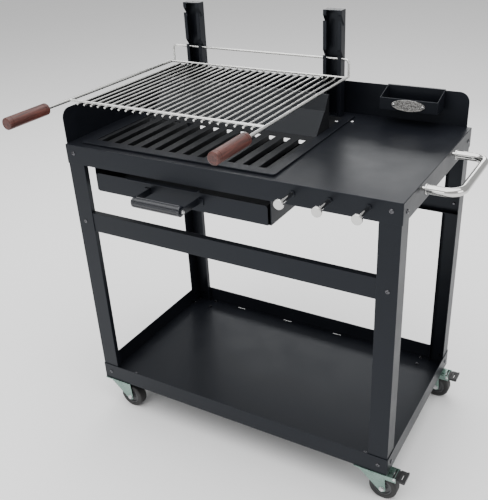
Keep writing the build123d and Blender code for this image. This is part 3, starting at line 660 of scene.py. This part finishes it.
wheelShape = {
    "sides": 72,
    "tyreThickness": 0.013,
    "shoulder": 0.0045,
    "hubSides": 48,
    "hubInset": 0.0012,      # the hub's faces lie below the tyre's
    "hubRing": 0.003,
    "hubRecess": 0.0035,
    "hubSlope": 0.0012,
    "hubChamfer": 0.0006,
    "bossRadius": 0.0105,
    "boreRadius": 0.0053,
}


def bridgeBore(piece, direction):
    # opens a bore between the two end faces that the last steps left
    selectFaces(piece, lambda face: abs(face.normal.dot(direction)) > 0.999 and len(face.vertices) > 8)
    bpy.ops.mesh.bridge_edge_loops()
    leaveEdit()


def makeWheel(corner):
    low, high = lowHigh("wheel_" + corner)
    centre = (low + high) / 2
    radius = (high.z - low.z) / 2
    width = high.y - low.y
    shape = wheelShape
    flat = width - 2 * shape["shoulder"]
    shoulderSteps = [
        (0.0006, shape["shoulder"] * 0.42),
        (0.0012, shape["shoulder"] * 0.3),
        (0.0018, shape["shoulder"] * 0.2),
        (0.0022, shape["shoulder"] * 0.08),
    ]
    used = sum(step[0] for step in shoulderSteps)
    wallSteps = shoulderSteps + [
        (shape["tyreThickness"] - used - 0.002, 0.0),
        (0.0008, -0.0009),
        (0.0012, 0.0),
    ]
    tyre = addTurned("tyre", centre, (0, 1, 0), radius, flat, shape["sides"], wallSteps, wallSteps)
    bridgeBore(tyre, Vector((0, 1, 0)))
    smooth(tyre, 40)
    tyre.name = "tyre" + camelCorner(corner)
    finishPiece(tyre, bodyOf["wheel_" + corner], "wheel_rubber", tyreRubber, "wheel_" + corner)

    hubRadius = radius - shape["tyreThickness"]
    chamfer, slope = shape["hubChamfer"], shape["hubSlope"]
    webWidth = hubRadius - shape["hubRing"] - shape["bossRadius"]
    hubSteps = [
        (chamfer, chamfer),
        (shape["hubRing"] - chamfer, 0.0),
        (slope, -shape["hubRecess"]),
        (webWidth - 2 * slope, 0.0),
        (slope, shape["hubRecess"]),
        (shape["bossRadius"] - shape["boreRadius"] - chamfer, 0.0),
        (chamfer, -chamfer),
    ]
    hubWidth = width - 2 * shape["hubInset"] - 2 * chamfer
    hub = addTurned("hub", centre, (0, 1, 0), hubRadius, hubWidth, shape["hubSides"], hubSteps, hubSteps)
    bridgeBore(hub, Vector((0, 1, 0)))
    smooth(hub, 35)
    hub.name = "hub" + camelCorner(corner)
    finishPiece(hub, bodyOf["wheel_" + corner], "wheel_rubber", hubPlastic)


boltShape = {"headRadius": 0.0054, "headHeight": 0.0022, "sides": 6, "seat": 0.0025}
axleShape = {
    "radius": 0.005,
    "endHeight": 0.004,        # washer and head together
    "washer": 0.001,
    "headWidth": 0.86,         # of the washer's radius
    "headHeight": 0.0026,
    "headMiddle": 0.0022,
    "sides": 32,
    "headSteps": [(0.0006, 0.0), (0.0008, -0.0006), (0.0006, 0.0)],
    "nutSteps": [(0.0012, 0.0), (0.0002, 0.0008), (0.0014, 0.0), (0.0003, -0.0012)],
}


def makeHexHead(radius, height):
    # hexagon head on the origin, pointing up, with a chamfered top and a washer face
    head = addTurned(
        "hexHead", (0, 0, height / 2), (0, 0, 1), radius, height, boltShape["sides"],
        [(0.0006, 0.0), (0.0007, -0.0005), (0.0004, 0.0)],
    )
    softEdges(head, 0.0002)
    return head


def makeAxle(corner):
    low, high = lowHigh("axle_" + corner)
    centre = (low + high) / 2
    reach = (high.y - low.y) / 2
    radius = (high.z - low.z) / 2
    shape = axleShape
    halfLength = reach - shape["endHeight"]
    shaft = addTurned(
        "shaft", centre, (0, 1, 0), shape["radius"], 2 * halfLength, shape["sides"],
        [(0.0005, 0.0)], [(0.0005, 0.0)],
    )
    parts = [shaft]
    for side in (1, -1):
        seat = centre + Vector((0, side * halfLength, 0))
        washer = addTurned(
            "washer", seat + Vector((0, side * shape["washer"] / 2, 0)), (0, side, 0), radius,
            shape["washer"], shape["sides"], [(0.0003, 0.0002), (0.001, 0.0)],
        )
        head = addTurned(
            "head", seat + Vector((0, side * shape["headMiddle"], 0)), (0, side, 0),
            radius * shape["headWidth"], shape["headHeight"], boltShape["sides"],
            shape["headSteps"] if side < 0 else shape["nutSteps"],
        )
        parts += [washer, head]
    piece = joinPieces(parts, "axleBolt" + camelCorner(corner))
    softEdges(piece, 0.00015)
    smooth(piece)
    finishPiece(piece, bodyOf["axle_" + corner], "zinc_plate", screwSteel, "axle_" + corner)


coverShape = {"radius": 0.0232, "thickness": 0.003, "rise": 0.0042, "sides": 48}
kingpinShape = {"radius": 0.0085, "wall": 0.0016, "drop": 0.0038, "dome": 0.0022, "flat": 0.002, "sides": 32}


def makeRaceCover(corner):
    # pressed cover over the ball race, with a rolled rim, and the kingpin's riveted head
    low, high = lowHigh("caster_plate_" + corner)
    crownHigh = lowHigh("fork_" + corner)[1].z
    middle = (low + high) / 2
    swivel = Vector((middle.x, middle.y, 0))
    rim = addTurned(
        "raceCover", swivel + Vector((0, 0, low.z + coverShape["rise"])), (0, 0, 1), coverShape["radius"],
        coverShape["thickness"], coverShape["sides"],
        [(0.0008, 0.0008), (0.0006, 0.0)], [(0.0008, 0.0006), (0.0016, 0.0), (0.0006, -0.0006)],
    )
    smooth(rim, 40)
    rim.name = "raceCover" + camelCorner(corner)
    finishPiece(rim, "frame", "zinc_plate", zincSteel)
    shape = kingpinShape
    pin = addTurned(
        "kingpin", swivel + Vector((0, 0, crownHigh - shape["drop"])), (0, 0, -1), shape["radius"],
        shape["wall"], shape["sides"], domeSteps(shape["radius"], shape["dome"], 4, shape["flat"]),
    )
    smooth(pin, 40)
    pin.name = "kingpin" + camelCorner(corner)
    finishPiece(pin, bodyOf["fork_" + corner], "zinc_plate", zincSteel)


pedalShape = {
    "armLength": 0.012,
    "armHalf": 0.0162,
    "armOverlap": 0.003,
    "armCorner": 0.006,
    "step": 0.0022,
    "ridge": 0.0042,
    "slotMargin": 0.0092,
    "edge": 0.0008,
    "ridgeEdge": 0.0013,
}


def makePedal(corner):
    # a moulded foot pedal: chamfered arm between the ears, tread with a slot, raised end ridge
    node = "brake_pedal_" + corner
    low, high = lowHigh(node)
    shape = pedalShape
    treadX = low.x + shape["armLength"]
    middleY = (low.y + high.y) / 2
    half = shape["armHalf"]
    treadTop = high.z - shape["step"]
    tread = addBlock("tread", (treadX, low.y, low.z), (high.x - 0.001, high.y, treadTop))
    selectFaces(tread, lambda face: abs(face.normal.z) > 0.9)
    bpy.ops.mesh.inset(thickness=shape["slotMargin"], use_individual=True)
    bpy.ops.mesh.bridge_edge_loops()
    leaveEdit()
    softEdges(tread, shape["edge"])
    armEnd = treadX + shape["armOverlap"]
    arm = addBlock("arm", (low.x, middleY - half, low.z), (armEnd, middleY + half, treadTop))
    selectEdges(arm, lambda one, two: abs(one.z - two.z) > 0.003 and max(one.x, two.x) < low.x + 0.001)
    bpy.ops.mesh.bevel(offset=shape["armCorner"], segments=1, affect="EDGES")
    leaveEdit()
    softEdges(arm, shape["edge"])
    ridgeLow = (high.x - shape["ridge"], low.y + 0.0004, low.z + 0.0003)
    ridge = addBlock("ridge", ridgeLow, high - Vector((0, 0.0004, 0)))
    softEdges(ridge, shape["ridgeEdge"], 3)
    piece = joinPieces([tread, arm, ridge], "brakePedal" + camelCorner(corner))
    smooth(piece)
    finishPiece(piece, bodyOf[node], "pedal_plastic", pedalPlastic, node)


pivotShape = {
    "fromEnd": 0.005,        # from the pedal's inner end
    "reach": 0.0195,         # from the fork's middle
    "radius": 0.0042,
    "wall": 0.0006,
    "dome": 0.0013,
    "flat": 0.001,
    "sides": 24,
}


def makePivotHeads(corner):
    # riveted heads of the pedal's pivot pin, outside the two ears
    forkLow, forkHigh = lowHigh("fork_" + corner)
    pedalLow, pedalHigh = lowHigh("brake_pedal_" + corner)
    shape = pivotShape
    place = Vector((pedalLow.x + shape["fromEnd"], 0, (pedalLow.z + pedalHigh.z) / 2))
    steps = domeSteps(shape["radius"], shape["dome"], 4, shape["flat"])
    heads = []
    for side in (-1, 1):
        middle = (forkLow.y + forkHigh.y) / 2 + side * shape["reach"]
        seat = place + Vector((0, middle + side * shape["wall"] / 2, 0))
        heads.append(
            addTurned("pivotHead", seat, (0, side, 0), shape["radius"], shape["wall"], shape["sides"], steps)
        )
    piece = joinPieces(heads, "pivotHeads" + camelCorner(corner))
    smooth(piece, 50)
    finishPiece(piece, bodyOf["fork_" + corner], "zinc_plate", screwSteel)


for corner in corners:
    makeWheel(corner)
    makeAxle(corner)
    makeRaceCover(corner)
for corner in ("front_right", "rear_right"):
    makePedal(corner)
    makePivotHeads(corner)

hexHead = makeHexHead(boltShape["headRadius"], boltShape["headHeight"])
bolts = []
for low, high in spotsOf("caster_bolts"):
    middle = (low + high) / 2
    top = Matrix.Translation((middle.x, middle.y, high.z - boltShape["seat"]))
    under = Matrix.Translation((middle.x, middle.y, low.z + boltShape["seat"]))
    under = under @ Matrix.Rotation(math.pi, 4, "X")
    bolts.append(copyOf(hexHead, "boltHead", top))
    bolts.append(copyOf(hexHead, "boltNut", under))
casterBolts = joinPieces(bolts, "casterBoltSet")
finishPiece(casterBolts, "frame", "screw_steel", darkScrews, "caster_bolts")
dropSource(hexHead)
print("casters done")


# Grips: turned wood on the grate, a fluted barrel on the drawer

woodShape = {
    "sides": 48,
    "chamfer": 0.003,
    "grooves": (0.012, 0.116),      # from the grip's rear end
    "grooveWidth": 0.0016,
    "grooveDepth": 0.0006,
}


def makeWoodGrip(node):
    low, high = lowHigh(node)
    centre = (low + high) / 2
    radius = (high.x - low.x) / 2
    length = high.y - low.y
    chamfer = woodShape["chamfer"]
    steps = [(chamfer * 0.25, chamfer * 0.55), (chamfer * 0.75, chamfer * 0.45), (0.002, 0.0), (0.0002, 0.0)]
    grip = addTurned(
        node, centre, (0, -1, 0), radius, length - 2 * chamfer, woodShape["sides"], steps, steps
    )
    for place in woodShape["grooves"]:
        y = high.y - place
        pick(grip)
        bpy.ops.object.mode_set(mode="EDIT")
        for offset in (-0.5, 0.5):
            bpy.ops.mesh.select_all(action="SELECT")
            bpy.ops.mesh.bisect(
                plane_co=(centre.x, y + offset * woodShape["grooveWidth"], centre.z), plane_no=(0, 1, 0)
            )
        leaveEdit()
        selectFaces(grip, lambda face: abs(face.center.y - y) < woodShape["grooveWidth"] * 0.4)
        bpy.ops.mesh.inset(thickness=0.0003, depth=-woodShape["grooveDepth"])
        leaveEdit()
    smooth(grip, 30)
    grip.name = "wood" + camelCorner(node)
    return finishPiece(grip, bodyOf[node], "turned_wood", gripWood, node)


makeWoodGrip("grip_left")
makeWoodGrip("grip_right")

barrelShape = {"flutes": 10, "fluteDepth": 0.0016, "fluteInset": 0.0009, "collar": 0.006, "sides": 60}


def makeDrawerGrip():
    low, high = lowHigh("drawer_grip")
    centre = (low + high) / 2
    radius = (high.z - low.z) / 2
    length = high.x - low.x
    steps = [(0.0008, 0.0006), (0.0014, 0.0006), (0.004, 0.0)]
    middleLength = length - 2 * sum(step[1] for step in steps)
    barrel = addTurned(
        "drawerBarrel", centre, (1, 0, 0), radius, middleLength, barrelShape["sides"], steps, steps
    )
    pick(barrel)
    bpy.ops.object.mode_set(mode="EDIT")
    for x in (low.x + barrelShape["collar"], high.x - barrelShape["collar"]):
        bpy.ops.mesh.select_all(action="SELECT")
        bpy.ops.mesh.bisect(plane_co=(x, centre.y, centre.z), plane_no=(1, 0, 0))
    leaveEdit()
    perFlute = barrelShape["sides"] // barrelShape["flutes"]

    def inFlute(face):
        if abs(face.center.x - centre.x) > length / 2 - barrelShape["collar"]:
            return False
        turn = math.atan2(face.center.z - centre.z, face.center.y - centre.y) / (2 * math.pi)
        return int(turn % 1.0 * barrelShape["sides"]) % perFlute < perFlute - 2

    selectFaces(barrel, inFlute)
    bpy.ops.mesh.inset(thickness=barrelShape["fluteInset"], depth=-barrelShape["fluteDepth"])
    leaveEdit()
    softEdges(barrel, 0.0003, 2, 30)
    smooth(barrel, 40)
    return finishPiece(barrel, "ash_drawer", "gloss_black", glossGrip, "drawer_grip")


makeDrawerGrip()


gripBoltShape = {"headHeight": 0.0025, "headWall": 0.0008, "shaftRadius": 0.003, "sides": 24, "headSides": 32}


def makeGripBolt():
    low, high = lowHigh("drawer_grip_bolt")
    centre = (low + high) / 2
    radius = (high.z - low.z) / 2
    shape = gripBoltShape
    wall = shape["headWall"]
    length = high.x - low.x - 2 * shape["headHeight"]
    end = [(0.0004, 0.0)]
    parts = [addTurned("shaft", centre, (1, 0, 0), shape["shaftRadius"], length, shape["sides"], end, end)]
    for side in (1, -1):
        seat = centre + Vector((side * (length / 2 + wall / 2), 0, 0))
        steps = domeSteps(radius, shape["headHeight"] - wall, 5, 0.0018) + [(0.0001, -0.001)]
        parts.append(addTurned("head", seat, (side, 0, 0), radius, wall, shape["headSides"], steps))
    bolt = joinPieces(parts, "gripBolt")
    smooth(bolt, 40)
    return finishPiece(bolt, "ash_drawer", "screw_steel", screwSteel, "drawer_grip_bolt")


makeGripBolt()
print("grips done")


# Tool pegs, handle collars and the badge

pegShape = {"shaft": 0.005, "collar": 0.007, "collarLength": 0.003, "headThickness": 0.005}


def makePeg(node):
    low, high = lowHigh(node)
    centre = (low + high) / 2
    headRadius = (high.x - low.x) / 2
    shape = pegShape
    length = high.y - low.y
    shaftLength = length - shape["headThickness"]
    shaft = addTurned(
        "shaft", (centre.x, high.y - shaftLength / 2, centre.z), (0, -1, 0), shape["shaft"], shaftLength, 32,
        [(0.0004, 0.0)], [(0.0004, 0.0)],
    )
    collar = addTurned(
        "collar", (centre.x, high.y - shape["collarLength"] / 2 + 0.0003, centre.z), (0, -1, 0),
        shape["collar"], shape["collarLength"] - 0.0006, 32, [(0.0008, 0.0006), (0.0012, 0.0)],
    )
    disc = shape["headThickness"] - 0.0018
    face = [(0.0004, 0.0006), (0.0008, 0.0004), (0.0015, 0.0002), (0.003, 0.0), (0.004, 0.0)]
    rear = [(0.0005, 0.0004), (0.0008, 0.0002), (0.004, 0.0)]
    head = addTurned(
        "head", (centre.x, low.y + 0.0012 + disc / 2, centre.z), (0, -1, 0), headRadius, disc, 64, face, rear
    )
    smooth(collar, 40)
    collar.name = "pegCollar" + node[-1]
    finishPiece(collar, bodyOf[node], "black_steel", blackCoat)
    peg = joinPieces([shaft, head], "toolPeg" + node[-1])
    smooth(peg, 40)
    return finishPiece(peg, bodyOf[node], "chrome", polished, node)


for node in ("peg_1", "peg_2", "peg_3"):
    makePeg(node)


handleCollarShape = {"ring": 0.004, "ringSides": 48, "neckRadius": 0.005, "neckSides": 32}


def makeHandleCollars():
    shape = handleCollarShape
    ring = shape["ring"]
    edge = [(0.0004, 0.0004), (0.0008, 0.0002)]
    parts = []
    for low, high in spotsOf("handle_collars"):
        centre = (low + high) / 2
        radius = (high.z - low.z) / 2
        neckLength = high.x - low.x - ring
        neck = addTurned(
            "neck", (low.x + neckLength / 2, centre.y, centre.z), (1, 0, 0), shape["neckRadius"], neckLength,
            shape["neckSides"], [(0.0004, 0.0)], [(0.0004, 0.0)],
        )
        collar = addTurned(
            "ring", (high.x - ring / 2, centre.y, centre.z), (-1, 0, 0), radius, ring - 0.0012,
            shape["ringSides"], edge + [(0.003, 0.0)], edge + [(0.001, 0.0)],
        )
        parts += [neck, collar]
    collars = joinPieces(parts, "handleCollarSet")
    smooth(collars, 40)
    return finishPiece(collars, "frame", "chrome", polished, "handle_collars")


makeHandleCollars()

badgeShape = {
    "rim": 0.0022,
    "rimHeight": 0.0007,
    "rise": 0.001,
    "sides": 72,
    "rivetRadius": 0.0032,
    "rivetWall": 0.0003,
    "rivetSides": 32,
}


def makeBadge():
    low, high = lowHigh("name_badge")
    centre = (low + high) / 2
    radius = (high.x - low.x) / 2
    squeeze = (high.z - low.z) / (high.x - low.x)
    thickness = high.y - low.y - badgeShape["rise"]
    rim = badgeShape["rim"]
    steps = [(0.0005, 0.0007), (rim * 0.5, 0.0003), (rim * 0.5, 0.0)]
    steps += [(0.0005, -badgeShape["rimHeight"]), (0.004, 0.0)]
    plate = addTurned(
        "ovalBadge", (centre.x, high.y - thickness / 2, centre.z), (0, -1, 0), radius, thickness,
        badgeShape["sides"], steps,
    )
    pick(plate)
    bpy.ops.object.mode_set(mode="EDIT")
    bpy.ops.mesh.select_all(action="SELECT")
    bpy.ops.transform.resize(value=(1, 1, squeeze), center_override=tuple(centre))
    leaveEdit()
    smooth(plate, 35)
    finishPiece(plate, "caddy", "badge_metal", castMetal, "name_badge")
    rivetRadius, wall = badgeShape["rivetRadius"], badgeShape["rivetWall"]
    steps = domeSteps(rivetRadius, 0.0012, 5, 0.0006)
    parts = []
    for low, high in spotsOf("badge_rivets"):
        seat = ((low.x + high.x) / 2, high.y - wall / 2, (low.z + high.z) / 2)
        parts.append(addTurned("rivet", seat, (0, -1, 0), rivetRadius, wall, badgeShape["rivetSides"], steps))
    rivets = joinPieces(parts, "badgeRivetPair")
    smooth(rivets, 60)
    finishPiece(rivets, "caddy", "screw_steel", screwSteel, "badge_rivets")


makeBadge()
print("pegs, collars and badge done")


# Weld beads where the grate's rods meet the crossbars and side bars

beadShape = {"radius": 0.0029, "stretch": 1.25, "squash": 0.55, "segments": 12, "rings": 6, "sink": 0.0002}


def makeWeldBeads():
    rods = spotsOf("grate_rods")
    bpy.ops.object.select_all(action="DESELECT")
    bpy.ops.mesh.primitive_uv_sphere_add(
        segments=beadShape["segments"], ring_count=beadShape["rings"], radius=beadShape["radius"]
    )
    bead = startPiece("bead")
    selectFaces(bead, lambda face: True)
    bpy.ops.transform.resize(
        value=(beadShape["stretch"], 1.0, beadShape["squash"]), center_override=(0, 0, 0)
    )
    leaveEdit()
    turn = Matrix.Rotation(math.pi / 2, 4, "Y")
    parts = []
    for barLow, barHigh in spotsOf("grate_crossbars"):
        middle = (barLow + barHigh) / 2
        for rodLow, rodHigh in rods:
            place = ((rodLow.x + rodHigh.x) / 2, middle.y, barLow.z + beadShape["sink"])
            parts.append(copyOf(bead, "bead", Matrix.Translation(place)))
        for edge in (barLow.x, barHigh.x):
            parts.append(copyOf(bead, "bead", Matrix.Translation((edge, middle.y, middle.z)) @ turn))
    dropSource(bead)
    beads = joinPieces(parts, "weldBeads")
    smooth(beads, 60)
    return finishPiece(beads, "cooking_grate", "stainless", rodSteel)


makeWeldBeads()
print("weld beads done")


# Floor, light and camera

stageLook = {
    "floorSize": 60.0,
    "floorColour": (0.94, 0.94, 0.94, 1),
    "floorRough": 0.7,
    "worldColour": (1.0, 1.0, 1.0, 1),
    "world": 0.62,
}


def makeStage():
    bpy.ops.object.select_all(action="DESELECT")
    bpy.ops.mesh.primitive_plane_add(size=stageLook["floorSize"], location=(0, 0, 0))
    floor = startPiece("studioFloor")
    material, tree, shader, place = newMaterial("paleFloor")
    broad = addNode(tree, "ShaderNodeTexNoise", values={"Scale": 0.6, "Detail": 2.0})
    tree.links.new(place, broad.inputs["Vector"])
    paler = tuple(min(1.0, value * 1.02) for value in stageLook["floorColour"][:3]) + (1,)
    colour = mixColours(tree, broad.outputs["Fac"], stageLook["floorColour"], paler)
    tree.links.new(colour, shader.inputs["Base Color"])
    shader.inputs["Roughness"].default_value = stageLook["floorRough"]
    paint(floor, material)
    world = bpy.data.worlds.new("studioWorld")
    world.use_nodes = True
    sky = world.node_tree.nodes["Background"]
    sky.inputs["Color"].default_value = stageLook["worldColour"]
    sky.inputs["Strength"].default_value = stageLook["world"]
    bpy.context.scene.world = world


lampSetup = {
    "overhead": {"place": (-0.2, -0.3, 4.0), "size": (6.0, 6.0), "watts": 330.0},
    "backPanel": {"place": (-0.75, 2.6, 1.72), "size": (2.4, 0.55), "watts": 17.0},
    "rightSide": {"place": (3.2, -0.4, 1.6), "size": (1.6, 1.6), "watts": 24.0},
    "frontSoft": {"place": (-1.2, -3.4, 1.0), "size": (2.4, 1.2), "watts": 26.0},
}


def makeLamps():
    target = Vector((0, 0, 0.6))
    for name, lamp in lampSetup.items():
        data = bpy.data.lights.new(name, "AREA")
        data.shape = "RECTANGLE"
        data.size, data.size_y = lamp["size"]
        data.energy = lamp["watts"]
        light = bpy.data.objects.new(name, data)
        bpy.context.scene.collection.objects.link(light)
        light.location = lamp["place"]
        light.rotation_euler = (target - light.location).to_track_quat("-Z", "Y").to_euler()


cameraView = {
    "place": (0.80805, -1.42205, 1.431),
    "turn": -30.5157,        # degrees from +Y, positive towards +X
    "dip": 28.7619,
    "roll": -2.5922,
    "lens": 52.37,
    "shift": (-0.0330, 0.0222),
}


def makeCamera():
    turn, dip, roll = (math.radians(cameraView[key]) for key in ("turn", "dip", "roll"))
    ahead = Vector((math.sin(turn) * math.cos(dip), math.cos(turn) * math.cos(dip), -math.sin(dip)))
    side = Vector((math.cos(turn), -math.sin(turn), 0))
    up = side.cross(ahead)
    rightward = math.cos(roll) * side + math.sin(roll) * up
    upward = -math.sin(roll) * side + math.cos(roll) * up
    data = bpy.data.cameras.new("viewCamera")
    data.sensor_fit = "HORIZONTAL"
    data.sensor_width = 36.0
    data.lens = cameraView["lens"]
    data.shift_x, data.shift_y = cameraView["shift"]
    data.clip_start = 0.05
    camera = bpy.data.objects.new("viewCamera", data)
    bpy.context.scene.collection.objects.link(camera)
    turnMatrix = Matrix((rightward, upward, -ahead)).transposed().to_4x4()
    camera.matrix_world = Matrix.Translation(cameraView["place"]) @ turnMatrix
    bpy.context.scene.camera = camera


makeStage()
makeLamps()
makeCamera()
print("stage, lamps and camera done")
